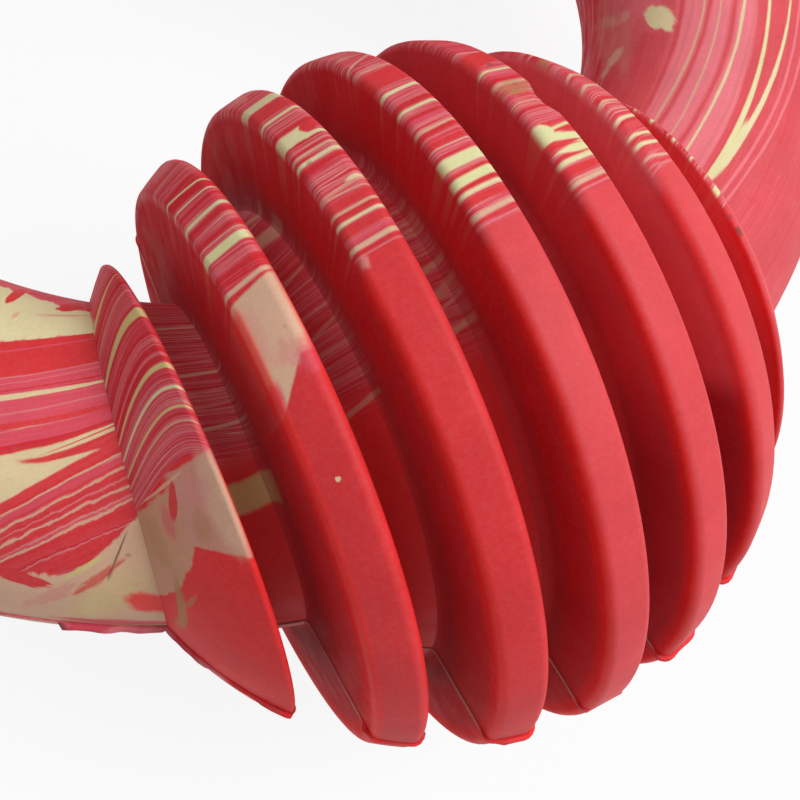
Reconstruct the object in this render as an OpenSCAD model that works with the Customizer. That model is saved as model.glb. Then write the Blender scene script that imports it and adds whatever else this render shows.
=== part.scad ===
// Ring-shaped rubber chew toy: a round tube bent into a ring, with ribbed balls moulded on it.
// The origin is the ring's centre, the ring lies in the XY plane and +Z is its axis.
// The toy is one moulding. Its tubes, ball cores and fins are drawn as separate solids
// that meet face to face, so that each form can be handled by name.

/* [Ring] */
// Diameter of the circle round the outside of the balls
overall_d = 150; // [135:1:180]
// Diameter of the bare tube between the balls
tube_d = 24; // [18:0.5:25]
// How far the tube's centre line runs outside the ball's centre
tube_offset = 2.5; // [0:0.1:4]
// Number of balls on the ring
ball_count = 3; // [2:1:4]

/* [Ball] */
// Diameter of the ball over its fins
ball_d = 55; // [52:0.5:60]
// Depth of the grooves between the fins, down to the round core
groove_depth = 6.7; // [5:0.1:8]
// How far the neck beside the core stands out from the bare tube
neck_step = 0.5; // [0:0.1:1.5]

/* [Fins] */
// Fins on one ball, with the two end fins that close on the tube
fin_count = 7; // [5:2:7]
// Height of an end fin's rim over the tube on the inside of the ring, where it is least
end_fin_h = 3.25; // [2.2:0.05:4.5]
// Width of a fin at its rim
fin_w = 3.25; // [2.6:0.05:3.8]
// Slope of a fin's sides, in degrees, which lets it leave the mould
fin_draft = 3.5; // [0:0.5:5]
// Radius of the rim's edges
edge_r = 0.7; // [0.3:0.1:1]
// Radius of the edge of an end fin, which is sharper
end_edge_r = 0.3; // [0.2:0.05:0.6]
// Radius in the corner between a fin and the core
root_r = 1.1; // [0.5:0.1:1.4]

/* [Hidden] */
$fn = 96;
ball_r = ball_d / 2;
core_r = ball_r - groove_depth;
tube_r = tube_d / 2;
neck_r = tube_r + neck_step;
ball_place_r = overall_d / 2 - ball_r;
ring_r = ball_place_r + tube_offset;
step_angle = 360 / ball_count;
middle_place = (fin_count + 1) / 2;
// The end fins' flat faces lie where the ball stands end_fin_h over the inside of the tube:
// there the inside circle of the ring meets the ball's outline, drawn that much nearer.
// The fins between them are spaced evenly.
inside_r = ring_r - tube_r;
near_r = ball_place_r + end_fin_h;
meet_y = (near_r * near_r + inside_r * inside_r - ball_r * ball_r) / (2 * near_r);
end_x = sphere_radius(meet_y, inside_r);
fin_pitch = (end_x + fin_w / 2) / (fin_count - middle_place);

// A root corner is no larger than its half of the groove's floor, and stops short of the
// core's own slope, so that no edge runs out to nothing
root_seat_share = 0.9;
half_floor = (fin_pitch - fin_w) / 2 - groove_depth * tan(fin_draft);
corner_r = min(root_r, root_seat_share * half_floor);
corner_steps = 5;
root_steps = 6;
rim_steps = 3;
cap_steps = 16;
look_steps = 36;

letters = ["a", "b", "c", "d"];
function next(i) = (i + 1) % ball_count;
function core_name(i) = str("ball_", letters[i], "_core");
function fin_name(i, k) = str("ball_", letters[i], "_fin_", k);
function tube_name(i) = str("tube_", letters[i], letters[next(i)]);

// Outlines are drawn as [distance from the ball's axis, place along the axis].
// Angles are measured from the axis towards the rim.
function arc_points(centre, r, from, to, steps) =
    [for (i = [0:steps]) let (a = from + (to - from) * i / steps)
        [centre[0] + r * sin(a), centre[1] + r * cos(a)]];
function angle_of(p) = atan2(p[0], p[1]);
// The turn from one angle to another, the short way round
function near_angle(from, to) = from + (to - from + 540) % 360 - 180;

function sphere_radius(x, r) = sqrt(r * r - x * x);
// Where a fin's sloping side would meet the ball's axis, pushed out by the length out
function side_foot(x, side, out) =
    x + side * (sphere_radius(x, ball_r) * tan(fin_draft) + out / cos(fin_draft));
// The point at the distance r from the ball's centre on that side
function side_point(x, side, out, r) =
    let (t = tan(fin_draft), foot = side_foot(x, side, out),
         reach = (side * t * foot + sqrt(t * t * foot * foot - (1 + t * t) * (foot * foot - r * r)))
             / (1 + t * t))
    [reach, foot - side * t * reach];
// The point at the distance reach from the axis on that side
function side_at(x, side, out, reach) = [reach, side_foot(x, side, out) - side * tan(fin_draft) * reach];

// The way that the side facing along the axis, or against it, looks
function side_angle(side) = side > 0 ? fin_draft : 180 - fin_draft;
function edge_centre(x, side) = side_point(x, side, -edge_r, ball_r - edge_r);
// How near the bent neck comes to the ball's axis at the place x, looked for round half of it
function neck_reach(x) =
    min([for (i = [0:look_steps]) let (a = 180 * i / look_steps)
        norm([sphere_radius(x, ring_r + neck_r * cos(a)) - ball_place_r, neck_r * sin(a)])]);
// A root corner stands on the core, or on the neck where that is higher.
// Given as its centre and the way that it looks down at its floor.
function root_corner(x, side) =
    let (on_core = side_point(x, side, corner_r, core_r + root_seat_share * corner_r),
         low = side_at(x, side, corner_r, neck_r),
         reach = neck_reach(low[1]) + root_seat_share * corner_r)
    on_core[0] > reach
        ? [on_core, angle_of(on_core) + 180]
        : [side_at(x, side, corner_r, reach), 270];

// One half of a fin's outline, from its rim down to the axis
function half_outline(mid, side) =
    let (x = mid + side * fin_w / 2,
         edge = edge_centre(x, side), root = root_corner(x, side),
         rim_angle = angle_of(edge), face = side_angle(side), back = face + 180,
         corner = arc_points(edge, edge_r, rim_angle, near_angle(rim_angle, face), corner_steps),
         foot = arc_points(root[0], corner_r, back, near_angle(back, root[1]), root_steps))
    concat(corner, foot, [[0, foot[root_steps][1]]]);
function reversed(list) = [for (i = [len(list) - 1:-1:0]) list[i]];

function fin_outline(mid) =
    let (low = half_outline(mid, -1), high = half_outline(mid, 1),
         rim = arc_points([0, 0], ball_r, angle_of(low[0]), angle_of(high[0]), rim_steps))
    concat(reversed(low), [for (i = [1:rim_steps - 1]) rim[i]], high);

// An end fin is flat towards its groove and follows the ball down to the tube
function end_outline() =
    let (mid = end_x + end_edge_r,
         centre = [sphere_radius(mid, ball_r - end_edge_r), mid],
         corner = arc_points(centre, end_edge_r, 180, angle_of(centre), corner_steps),
         cap = arc_points([0, 0], ball_r, angle_of(centre), 0, cap_steps))
    concat([[0, end_x]], corner, [for (i = [1:cap_steps]) cap[i]]);

module at_ball(i) rotate([0, 0, i * step_angle]) translate([0, -ball_place_r, 0]) children();
module about_x() rotate([0, 90, 0]) rotate_extrude() children();

// In a ball's own place: the whole ring tube of radius r, and the block between the end fins
module ring_tube(r) translate([0, ball_place_r, 0]) rotate_extrude() translate([ring_r, 0]) circle(r = r);
module ball_block() cube([2 * end_x, 2 * ball_r, 2 * ball_r], center = true);

module core() color("firebrick") intersection() {
    union() { sphere(r = core_r); ring_tube(neck_r); }
    ball_block();
}

module middle_fin(k) color("crimson") difference() {
    about_x() polygon(fin_outline((k - middle_place) * fin_pitch));
    core();
}

module end_fin(side) color("indianred") mirror([side < 0 ? 1 : 0, 0, 0]) difference() {
    about_x() polygon(end_outline());
    ring_tube(tube_r);
}

module fin(k) {
    if (k == 1) end_fin(-1);
    else if (k == fin_count) end_fin(1);
    else middle_fin(k);
}

// The tube from the ball numbered i to the next one
module tube(i) color("lightcoral") rotate([0, 0, i * step_angle]) difference() {
    rotate([0, 0, -90]) rotate_extrude(angle = step_angle) translate([ring_r, 0]) circle(r = tube_r);
    for (j = [0, 1]) at_ball(j) ball_block();
}

for (i = [0:ball_count - 1]) {
    at_ball(i) core();
    for (k = [1:fin_count]) at_ball(i) fin(k);
    tube(i);
}
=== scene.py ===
import math

import bpy
from mathutils import Matrix, Vector, noise as unevenness


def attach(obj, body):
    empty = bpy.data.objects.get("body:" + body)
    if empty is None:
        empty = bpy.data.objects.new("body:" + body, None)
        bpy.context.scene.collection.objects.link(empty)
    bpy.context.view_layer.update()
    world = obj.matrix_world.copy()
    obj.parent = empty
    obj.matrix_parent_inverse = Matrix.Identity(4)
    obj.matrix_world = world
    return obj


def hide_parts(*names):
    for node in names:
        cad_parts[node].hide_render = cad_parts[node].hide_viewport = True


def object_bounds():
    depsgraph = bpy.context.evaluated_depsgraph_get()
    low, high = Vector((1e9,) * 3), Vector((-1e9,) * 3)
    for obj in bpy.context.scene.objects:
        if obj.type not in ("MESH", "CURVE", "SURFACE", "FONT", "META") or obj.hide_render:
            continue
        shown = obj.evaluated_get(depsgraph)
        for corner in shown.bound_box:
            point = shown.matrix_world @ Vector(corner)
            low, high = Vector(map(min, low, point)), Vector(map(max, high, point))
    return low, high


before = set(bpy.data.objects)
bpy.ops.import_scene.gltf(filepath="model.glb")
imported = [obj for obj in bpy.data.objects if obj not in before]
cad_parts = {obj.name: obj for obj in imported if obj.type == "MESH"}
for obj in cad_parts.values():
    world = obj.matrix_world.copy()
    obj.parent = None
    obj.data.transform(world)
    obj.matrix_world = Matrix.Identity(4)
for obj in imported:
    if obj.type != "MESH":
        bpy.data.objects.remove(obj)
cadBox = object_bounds()
bpy.ops.object.select_all(action="DESELECT")
print("toy loaded:", len(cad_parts), "moulded forms")

mm = 0.001
perMm = (1 / mm, 1 / mm, 1 / mm)  # object coordinates times this are millimetres
toy = {
    "ringRadius": 50.0,      # middle of the tube, from the ring's centre
    "tubeRadius": 12.0,
    "ballCentre": 47.5,      # from the ring's centre
    "ballRadius": 27.5,
    "coreRadius": 20.8,
    "fins": 7,
    "middleFin": 4,
    "finPitch": 7.294,
    "finWidth": 3.25,
    "endFin": 20.256,        # flat face of an end fin, from the ball's centre
    "turns": {"a": 0.0, "b": 120.0, "c": 240.0},
}


class nodeValue:
    # a value in a shader tree, so that sums are written as sums
    def __init__(self, socket):
        self.socket, self.tree = socket, socket.id_data

    def __add__(self, other):
        return calc("ADD", self, other)

    def __radd__(self, other):
        return calc("ADD", other, self)

    def __sub__(self, other):
        return calc("SUBTRACT", self, other)

    def __rsub__(self, other):
        return calc("SUBTRACT", other, self)

    def __mul__(self, other):
        return calc("MULTIPLY", self, other)

    def __truediv__(self, other):
        return calc("DIVIDE", self, other)

    def __neg__(self):
        return self * -1.0

    def times(self, other, extra):
        return calc("MULTIPLY_ADD", self, other, extra)


def outputsOf(node):
    return {socket.name: nodeValue(socket) for socket in node.outputs}


def plug(socket, value):
    if isinstance(value, nodeValue):
        value.tree.links.new(value.socket, socket)
    else:
        socket.default_value = value


def newNode(kind, inputs, output=0, **settings):
    # its inputs go by name or number, and it stands in the tree of the first linked one
    tree = next(value.tree for value in inputs.values() if isinstance(value, nodeValue))
    node = tree.nodes.new("ShaderNode" + kind)
    for name, value in settings.items():
        setattr(node, name, value)
    for name, value in inputs.items():
        plug(node.inputs[name], value)
    return nodeValue(node.outputs[output])


def calc(operation, *values):
    return newNode("Math", dict(enumerate(values)), operation=operation)


def vectorCalc(operation, *values):
    output = "Value" if operation == "LENGTH" else "Vector"
    return newNode("VectorMath", dict(enumerate(values)), output, operation=operation)


def remap(value, low, high, toLow=0.0, toHigh=1.0, kind="SMOOTHSTEP"):
    inputs = dict(enumerate((value, low, high, toLow, toHigh)))
    return newNode("MapRange", inputs, interpolation_type=kind)


def split(vector):
    return outputsOf(newNode("SeparateXYZ", {0: vector}).socket.node).values()


def join(*values):
    return newNode("CombineXYZ", dict(enumerate(values)))


def noise(vector, scale=1.0, detail=3.0, roughness=0.6, output=0):
    inputs = {"Vector": vector, "Scale": scale, "Detail": detail, "Roughness": roughness}
    return newNode("TexNoise", inputs, output)


def blendColours(amount, first, second, kind="MIX"):
    inputs = {0: amount, 6: first, 7: second}  # the numbers of its sockets for colours
    return newNode("Mix", inputs, output=2, data_type="RGBA", blend_type=kind)


def colourSteps(value, steps):
    result = newNode("ValToRGB", {0: value})
    elements = result.socket.node.color_ramp.elements
    while len(elements) > 1:
        elements.remove(elements[-1])
    elements[0].position = steps[0][0]
    elements[0].color = marble[steps[0][1]]
    for place, tone in steps[1:]:
        elements.new(place).color = marble[tone]
    return result


def newGroup(name, inputs, *outputs):
    # an input is given with its value, or None where it is a place
    group = bpy.data.node_groups.new(name, "ShaderNodeTree")
    for title, value in inputs.items():
        kind = "NodeSocketVector" if value is None else "NodeSocketFloat"
        socket = group.interface.new_socket(title, in_out="INPUT", socket_type=kind)
        if value is not None:
            socket.default_value = value
    for title in outputs:
        kind = "NodeSocketColor" if title == "Color" else "NodeSocketFloat"
        group.interface.new_socket(title, in_out="OUTPUT", socket_type=kind)
    given = outputsOf(group.nodes.new("NodeGroupInput"))
    return group, given, group.nodes.new("NodeGroupOutput").inputs


def useGroup(group, **inputs):
    return outputsOf(newNode("Group", inputs, node_tree=group).socket.node)


def makeFlowPlace():
    # where a point of the rubber lies: ring and tube angles in degrees,
    # and its place round a ball's own axis in mm and degrees
    group, given, result = newGroup(
        "flowPlace", {"Place": None, "Turn": 0.0},
        "RingAngle", "TubeAngle", "Along", "BallAlong", "BallAngle", "BallRadius")
    turned = newNode("VectorRotate", {"Vector": given["Place"]}, rotation_type="Z_AXIS")
    plug(turned.socket.node.inputs["Angle"], calc("RADIANS", -given["Turn"]))
    x, y, z = split(vectorCalc("MULTIPLY", turned, perMm))
    across = vectorCalc("LENGTH", join(x, y, 0.0)) - toy["ringRadius"]
    ringAngle = calc("ARCTAN2", x, -y)
    plug(result["Along"], ringAngle * toy["ringRadius"])
    plug(result["RingAngle"], calc("DEGREES", ringAngle))
    plug(result["TubeAngle"], calc("DEGREES", calc("ARCTAN2", z, across)))
    outward = -(y + toy["ballCentre"])
    plug(result["BallAlong"], x)
    plug(result["BallAngle"], calc("DEGREES", calc("ARCTAN2", z, outward)))
    plug(result["BallRadius"], vectorCalc("LENGTH", join(x, outward, z)))
    return group


def fromScreen(red, green, blue):
    # a colour as read off a screen, 0 to 255, made linear
    def linear(value):
        value /= 255
        return value / 12.92 if value <= 0.04045 else ((value + 0.055) / 1.055) ** 2.4
    return (linear(red), linear(green), linear(blue), 1.0)


# the marbling: red, pink and cream rubber drawn out into stripes along the ring
marble = {
    # some tones here are painted light and shade: brighter reds for the rims' edges and the
    # grooves' floors, brighter tones for parts of the fins' faces, and a dimmer face tone for two
    # fins
    "deepRed": (168, 16, 26), "red": (200, 32, 42), "plain": (208, 47, 51), "bright": (236, 43, 45),
    "firstFin": (218, 36, 38), "coral": (210, 64, 69), "groove": (222, 43, 47),
    "glow": (240, 34, 28), "paintedLitUpperFace": (206, 40, 46), "paintedLitFace": (210, 66, 74),
    "paintedBrightFace": (236, 112, 120), "endFace": (230, 84, 86), "face": (191, 37, 43),
    "paintedShadeFace": (178, 52, 61), "pink": (212, 74, 92), "softPink": (227, 121, 131),
    "warmPink": (206, 73, 80), "rose": (214, 116, 118), "cream": (218, 209, 162),
    "yellow": (216, 212, 158), "straw": (210, 192, 128), "beige": (212, 170, 142),
    "palePink": (212, 134, 128), "tan": (196, 147, 116), "rosyTan": (200, 140, 122),
    "olive": (166, 122, 70), "dirt": (86, 58, 44), "darkerFoot": (158, 84, 88), "bloom": (232, 146, 148),
}
marble = {tone: fromScreen(*onScreen) for tone, onScreen in marble.items()}

noiseMiddle = 0.5  # a noise texture swings about this
fineLook = {
    "rippleAlong": 0.12,     # how quickly a stripe wanders along the rubber, and round it
    "rippleRound": 7.0,
    "ripple": {"detail": 2.0, "roughness": 0.5},
    "toneAlong": 0.028,      # how quickly the stripes change their tones along it
    "broadRound": 6.0,       # broad bands, paler and darker
    "broad": {"detail": 1.0, "roughness": 0.5},
    "broadShare": 0.45,
    "pinkShare": 0.1,
    "steps": [
        (0.00, "deepRed"), (0.34, "red"), (0.42, "red"), (0.46, "pink"), (0.48, "red"),
        (0.51, "pink"), (0.54, "rose"), (0.555, "pink"), (0.58, "red"), (0.61, "pink"),
        (0.64, "rose"), (0.655, "beige"), (0.67, "pink"), (0.74, "red")],
}


def makeFineStripes():
    # fine stripes at an angle round the rubber, which ripple slowly along it
    # and close on themselves
    group, given, result = newGroup(
        "fineStripes",
        {"Angle": 0.0, "Along": 0.0, "Seed": 0.0, "Ripple": 1.5, "Closeness": 36.0,
         "Pinkness": 0.0},
        "Color", "Angle")

    def onCircle(angle, radius, along):
        turn = calc("RADIANS", angle)
        return join(calc("COSINE", turn) * radius, calc("SINE", turn) * radius, along)

    quick = given["Along"].times(fineLook["rippleAlong"], given["Seed"])
    slow = given["Along"].times(fineLook["toneAlong"], given["Seed"])
    bend = noise(onCircle(given["Angle"], fineLook["rippleRound"], quick), **fineLook["ripple"])
    angle = (bend - noiseMiddle).times(given["Ripple"], given["Angle"])
    fine = noise(onCircle(angle, given["Closeness"], slow))
    broad = noise(onCircle(angle, fineLook["broadRound"], slow), **fineLook["broad"])
    level = (broad - noiseMiddle).times(fineLook["broadShare"], fine)
    level = given["Pinkness"].times(fineLook["pinkShare"], level)
    plug(result["Angle"], angle)
    plug(result["Color"], colourSteps(level, fineLook["steps"]))
    return group


laying = {
    "patchSpread": 4.0,      # how far an edge may wander, as a share of its own setting
    "blobSpread": 3.0,
    "blobEdge": 0.62,        # how rough its noise is
    "speckSpread": 3.0,
    "speckGrain": {"scale": 2.2, "roughness": 0.65},
    "speckEdge": (1.1, 0.75),
    "farOff": 999.0,         # the limit of a patch that has none on that side
    "stripe": [0.0, 0.0, 0.28],      # slope, taper and softness of a stripe that gives none
    "blob": [0.0, 0.4, 1.0, 0.08],   # lean, wander, grain and softness of a blob that gives none
    "patchSeed": (3.7, 0.4),
    "blobSeed": (2.9, 0.3),
}


def makeLaidStripe():
    # one listed stripe: its middle, half its width, how it slopes and how it tapers
    group, given, result = newGroup(
        "laidStripe",
        {"Angle": 0.0, "Along": 0.0, "Middle": 0.0, "Half": 0.5, "Slope": 0.0, "Taper": 0.0,
         "Soft": 0.2},
        "Mask")
    middle = given["Along"].times(given["Slope"], given["Middle"])
    half = given["Along"].times(given["Taper"], given["Half"])
    off = calc("ABSOLUTE", given["Angle"] - middle) - half
    plug(result["Mask"], remap(off, given["Soft"], -given["Soft"]))
    return group


def makeLaidPatch():
    # a patch of another colour with ragged edges, laid between two angles and two places along
    farOff = laying["farOff"]
    group, given, result = newGroup(
        "laidPatch",
        {"Along": 0.0, "Angle": 0.0, "From": -farOff, "To": farOff,
         "Low": -farOff, "LowSlope": 0.0, "High": farOff, "HighSlope": 0.0,
         "Ragged": 1.0, "Soft": 0.5, "SoftEnds": 0.15, "RaggedEnds": 0.4,
         "GrainAlong": 0.8, "GrainAngle": 0.12, "Seed": 0.0},
        "Mask")
    along, angle = given["Along"], given["Angle"]
    spot = join(along * given["GrainAlong"], angle * given["GrainAngle"], given["Seed"])
    wander = [entry - noiseMiddle for entry in split(noise(spot, output=1))]
    back = {soft: -given[soft] for soft in ("Soft", "SoftEnds")}

    def edge(distance, wandering, ends=""):
        size = given["Ragged" + ends] * laying["patchSpread"]
        distance = wandering.times(size, distance)
        return remap(distance, back["Soft" + ends], given["Soft" + ends])

    low = along.times(given["LowSlope"], given["Low"])
    high = along.times(given["HighSlope"], given["High"])
    sides = edge(angle - low, wander[0]) * edge(high - angle, wander[1])
    start = edge(along - given["From"], wander[2], "Ends")
    ends = start * edge(given["To"] - along, wander[0], "Ends")
    plug(result["Mask"], sides * ends)
    return group


def makeLaidBlob():
    # a rounded patch with a wandering edge: its middle, half its sizes, and how it leans
    group, given, result = newGroup(
        "laidBlob",
        {"Along": 0.0, "Angle": 0.0, "MiddleAlong": 0.0, "MiddleAngle": 0.0, "HalfAlong": 1.0,
         "HalfAngle": 1.0, "Lean": 0.0, "Wander": 0.5, "Grain": 1.0, "Soft": 0.08, "Seed": 0.0},
        "Mask")
    along = given["Along"] - given["MiddleAlong"]
    angle = given["Angle"] - given["MiddleAngle"]
    angle = angle - along * given["Lean"]
    u = along / given["HalfAlong"]
    v = angle / given["HalfAngle"]
    grain = join(given["Grain"], given["Grain"], 1.0)
    spot = vectorCalc("MULTIPLY", join(u, v, given["Seed"]), grain)
    shift = noise(spot, roughness=laying["blobEdge"], output=1)
    shift = vectorCalc("SUBTRACT", shift, (noiseMiddle, noiseMiddle, noiseMiddle))
    size = given["Wander"] * laying["blobSpread"]
    shift = vectorCalc("MULTIPLY", shift, join(size, size, 0.0))
    far = vectorCalc("LENGTH", vectorCalc("ADD", join(u, v, 0.0), shift))
    plug(result["Mask"], remap(far, 1.0 + given["Soft"], 1.0 - given["Soft"]))
    return group


def makeSpeck():
    # a small spot of dirt or a pale speck, round, with a ragged edge
    group, given, result = newGroup(
        "speck", {"Place": None, "Middle": None, "Size": 0.3, "Ragged": 0.5}, "Mask")
    spot = vectorCalc("MULTIPLY", given["Place"], perMm)
    off = vectorCalc("SUBTRACT", spot, given["Middle"])
    far = vectorCalc("LENGTH", off) / given["Size"]
    rough = noise(off, **laying["speckGrain"]) - noiseMiddle
    far = rough.times(given["Ragged"] * laying["speckSpread"], far)
    plug(result["Mask"], remap(far, *laying["speckEdge"]))
    return group


rubber = {
    "ior": 1.45,
    "gloss": 0.3,
    "faceGloss": 0.04,       # of the shown fins, where only the rims shine
    "rimSheen": 0.52,        # how much of a thin coat the rims have, and how dull it is
    "rimDullness": 0.62,
    "bumpStrength": 0.25,
    "bumpHeight": 0.12,      # mm
    "grain": {"scale": 4.5},
    "grainShare": 0.3,       # of the height, beside the swells
    "swell": {"scale": 0.35, "detail": 2.0, "roughness": 0.5},
    "patchy": {"scale": 0.2},
    "worn": {"scale": 0.5, "roughness": 0.5},
    "mottle": {"scale": 2.3, "detail": 4.0, "roughness": 0.7},
    # each of these is a low and a high noise, and the values for them
    "patchyShade": (0.3, 0.7, 0.95, 1.05),
    "grainShade": (0.3, 0.7, 0.965, 1.035),
    "dullness": (0.3, 0.7, 0.56, 0.7),
    "bloom": (0.38, 0.68, 0.0, 0.045),
}


def makeSkin():
    # fine moulded grain, slight swells, a faint change of shade and a pale bloom
    group, given, result = newGroup(
        "rubberSkin", {"Place": None}, "Height", "Shade", "Dullness", "Bloom")
    spot = vectorCalc("MULTIPLY", given["Place"], perMm)
    grain = noise(spot, **rubber["grain"])
    swell = noise(spot, **rubber["swell"])
    plug(result["Height"], grain.times(rubber["grainShare"], swell))
    broad = remap(noise(spot, **rubber["patchy"]), *rubber["patchyShade"])
    plug(result["Shade"], broad * remap(grain, *rubber["grainShade"]))
    plug(result["Dullness"], remap(noise(spot, **rubber["worn"]), *rubber["dullness"]))
    plug(result["Bloom"], remap(noise(spot, **rubber["mottle"]), *rubber["bloom"]))
    return group


flowPlace = makeFlowPlace()
fineStripes = makeFineStripes()
laidStripe = makeLaidStripe()
laidPatch = makeLaidPatch()
laidBlob = makeLaidBlob()
speck = makeSpeck()
rubberSkin = makeSkin()
print("shader groups ready")


def newRubber(name):
    material = bpy.data.materials.new(name)
    material.use_nodes = True
    nodes = material.node_tree.nodes
    nodes.clear()
    shader = nodes.new("ShaderNodeBsdfPrincipled")
    output = nodes.new("ShaderNodeOutputMaterial")
    plug(output.inputs["Surface"], nodeValue(shader.outputs[0]))
    return material, shader, outputsOf(nodes.new("ShaderNodeTexCoord"))["Object"]


def finishRubber(shader, coordinates, colour, gloss=rubber["gloss"], rimSheen=None):
    skin = useGroup(rubberSkin, Place=coordinates)
    shade = join(skin["Shade"], skin["Shade"], skin["Shade"])
    colour = blendColours(skin["Bloom"], colour, marble["bloom"])
    settings = {"Base Color": blendColours(1.0, colour, shade, "MULTIPLY"),
                "Roughness": skin["Dullness"], "IOR": rubber["ior"], "Specular IOR Level": gloss}
    if rimSheen is not None:  # where only the rims shine, their sheen is a thin coat
        settings.update({"Coat Weight": rimSheen, "Coat Roughness": rubber["rimDullness"],
                         "Coat IOR": rubber["ior"]})
    settings["Normal"] = newNode("Bump", {
        "Strength": rubber["bumpStrength"], "Distance": rubber["bumpHeight"] * mm,
        "Height": skin["Height"]})
    for name, value in settings.items():
        plug(shader.inputs[name], value)


def layStripes(colour, angle, along, laid):
    # each is its middle angle, half its width and its tone, then its slope, taper and softness
    for middle, half, tone, *more in laid:
        slope, taper, soft = more + laying["stripe"][len(more):]
        mask = useGroup(laidStripe, Angle=angle, Along=along, Middle=middle, Half=half,
                        Slope=slope, Taper=taper, Soft=soft)["Mask"]
        colour = blendColours(mask, colour, marble[tone])
    return colour


def layPatches(colour, along, angle, laid):
    # each is its tone, how far it covers, and its limits
    step, first = laying["patchSeed"]
    for number, (tone, cover, limits) in enumerate(laid):
        settings = {"Seed": step * number + first, **limits}
        mask = useGroup(laidPatch, Along=along, Angle=angle, **settings)["Mask"]
        colour = blendColours(mask * cover if cover < 1.0 else mask, colour, marble[tone])
    return colour


def layBlobs(colour, along, angle, laid):
    # each is its tone, how far it covers, its middle, half its sizes,
    # then its lean, wander, grain and softness
    step, first = laying["blobSeed"]
    for number, (tone, cover, middle, half, *more) in enumerate(laid):
        lean, wander, grain, soft = more + laying["blob"][len(more):]
        mask = useGroup(laidBlob, Along=along, Angle=angle,
                        MiddleAlong=middle[0], MiddleAngle=middle[1],
                        HalfAlong=half[0], HalfAngle=half[1], Lean=lean, Wander=wander,
                        Grain=grain, Soft=soft, Seed=step * number + first)["Mask"]
        colour = blendColours(mask * cover, colour, marble[tone])
    return colour


def laySpecks(colour, coordinates, laid):
    # each is its tone, how far it covers, its size and its middle in mm
    for tone, cover, size, middle in laid:
        mask = useGroup(speck, Place=coordinates, Middle=middle, Size=size)["Mask"]
        colour = blendColours(mask * cover, colour, marble[tone])
    return colour


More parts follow.
